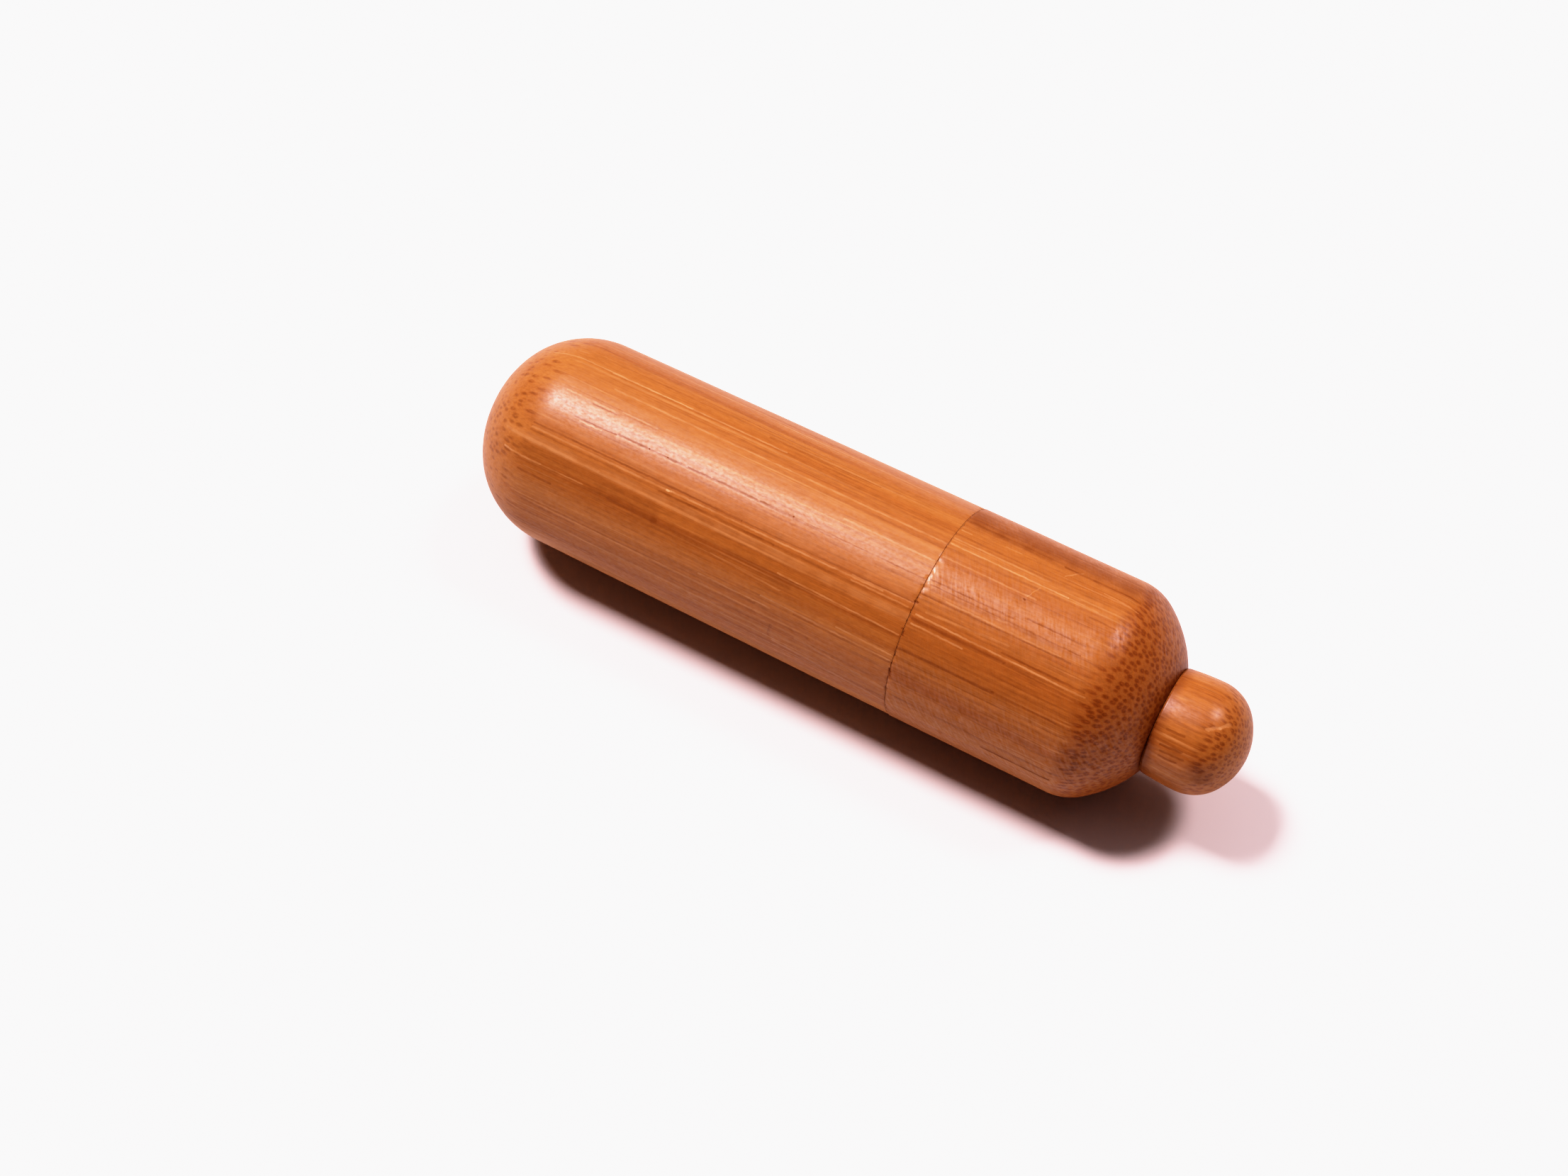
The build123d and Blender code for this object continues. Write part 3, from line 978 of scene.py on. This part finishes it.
def area_light(name, aim, towards, distance, width, power, colour):
    """A square light that faces its aim."""
    lamp = bpy.data.lights.new(name, "AREA")
    lamp.size = width
    lamp.energy = power
    lamp.color = colour
    light = bpy.data.objects.new(name, lamp)
    light.location = aim + towards * distance
    light.rotation_euler = towards.to_track_quat("Z", "Y").to_euler()
    bpy.context.scene.collection.objects.link(light)


def film_response(light, toe, shoulder, ceiling):
    """What the film records of an amount of light: shadows sink, and highlights level off at the ceiling."""
    sunk = light * light / (light + toe)
    room = ceiling - shoulder
    return sunk if sunk < shoulder else shoulder + room * math.tanh((sunk - shoulder) / room)


def set_film(scene, stage):
    """Gives the view a film's response."""
    scene.view_settings.view_transform = "Standard"
    scene.view_settings.use_curve_mapping = True
    mapping = scene.view_settings.curve_mapping
    mapping.use_clip = False
    mapping.extend = "HORIZONTAL"
    mapping.white_level = (FILM_REACH,) * 3
    curve = mapping.curves[3]
    steps = [(i / FILM_STEPS) ** 2 for i in range(FILM_STEPS + 1)]
    places = [(x, film_response(x * FILM_REACH, stage.toe, stage.shoulder, stage.ceiling)) for x in steps]
    curve.points[0].location = places[0]
    curve.points[1].location = places[-1]
    for place in places[1:-1]:
        curve.points.new(*place)
    for point in curve.points:
        point.handle_type = "AUTO_CLAMPED"
    mapping.update()


class NEEDLECASE_OT_set_stage(Operator):
    """Lays the floor and sets the lights, the camera and the film"""

    bl_idname = "needle_case.set_stage"
    bl_label = "Set the stage"

    def execute(self, context):
        scene = context.scene
        stage = scene.needle_case_stage
        low, high = CAD_BOX
        centre = (low + high) / 2

        reach = FLOOR_REACH
        corners = [(-reach, -reach, 0.0), (reach, -reach, 0.0), (reach, reach, 0.0), (-reach, reach, 0.0)]
        ground = bpy.data.meshes.new("floor")
        ground.from_pydata(corners, [], [(0, 1, 2, 3)])
        paint = bpy.data.materials.new("floor")
        paint.use_nodes = True
        shader = paint.node_tree.nodes["Principled BSDF"]
        shader.inputs["Base Color"].default_value = (*stage.floor, 1.0)
        shader.inputs["Roughness"].default_value = 0.9
        shader.inputs["Specular IOR Level"].default_value = 0.1
        ground.materials.append(paint)
        floor = bpy.data.objects.new("floor", ground)
        scene.collection.objects.link(floor)

        tone = tuple(stage.light)
        towards_key = direction(stage.key_turn, stage.key_height)
        area_light("key", centre, towards_key, LIGHT_DISTANCE, stage.key_size, stage.key_power, tone)
        towards_overhead = direction(stage.overhead_turn, stage.overhead_height)
        power = stage.overhead_power
        area_light("overhead", centre, towards_overhead, OVERHEAD_DISTANCE, OVERHEAD_SIZE, power, tone)
        towards_end = Vector(TOWARDS_END_LIGHT).normalized()
        area_light("end_light", centre, towards_end, LIGHT_DISTANCE, END_LIGHT_SIZE, stage.end_power, tone)

        world = bpy.data.worlds.new("sky")
        world.use_nodes = True
        sky = world.node_tree.nodes["Background"]
        sky.inputs["Color"].default_value = (*tone, 1.0)
        sky.inputs["Strength"].default_value = stage.sky
        scene.world = world

        lens = bpy.data.cameras.new("camera")
        lens.lens = stage.lens
        lens.sensor_width = SENSOR_WIDTH
        lens.clip_start = CLIP_START
        camera = bpy.data.objects.new("camera", lens)
        back = direction(stage.camera_turn - math.pi / 2, stage.camera_height)
        aim = Vector(CAMERA_AIM) * MM
        camera.location = aim + back * stage.camera_distance
        camera.rotation_euler = back.to_track_quat("Z", "Y").to_euler()
        scene.collection.objects.link(camera)
        scene.camera = camera
        set_film(scene, stage)
        return {"FINISHED"}


class NEEDLECASE_PT_panel(Panel):
    """Lists the steps and the sizes, finish and stage settings"""

    bl_label = "Needle case"
    bl_idname = "NEEDLECASE_PT_panel"
    bl_space_type = "VIEW_3D"
    bl_region_type = "UI"
    bl_category = "Needle case"

    def draw(self, context):
        for step in STEPS:
            self.layout.operator(step.bl_idname)
        for label, group in (("Sizes", "sizes"), ("Finish", "finish"), ("Stage", "stage")):
            box = self.layout.box()
            box.label(text=label)
            settings = getattr(context.scene, "needle_case_" + group)
            for name in settings.__annotations__:
                box.prop(settings, name)


GROUPS = {"sizes": NeedleCaseSizes, "finish": BambooFinish, "stage": StageSettings}
STEPS = (NEEDLECASE_OT_turn_body, NEEDLECASE_OT_turn_cap, NEEDLECASE_OT_turn_knob, NEEDLECASE_OT_set_stage)


def register():
    for part in (*GROUPS.values(), *STEPS, NEEDLECASE_PT_panel):
        bpy.utils.register_class(part)
    for name, group in GROUPS.items():
        setattr(bpy.types.Scene, "needle_case_" + name, PointerProperty(type=group))


def unregister():
    for name in GROUPS:
        delattr(bpy.types.Scene, "needle_case_" + name)
    for part in reversed((*GROUPS.values(), *STEPS, NEEDLECASE_PT_panel)):
        bpy.utils.unregister_class(part)


def main():
    register()
    bpy.ops.needle_case.set_stage()
    bpy.ops.needle_case.turn_body()
    bpy.ops.needle_case.turn_cap()
    bpy.ops.needle_case.turn_knob()


if __name__ == "__main__":
    main()
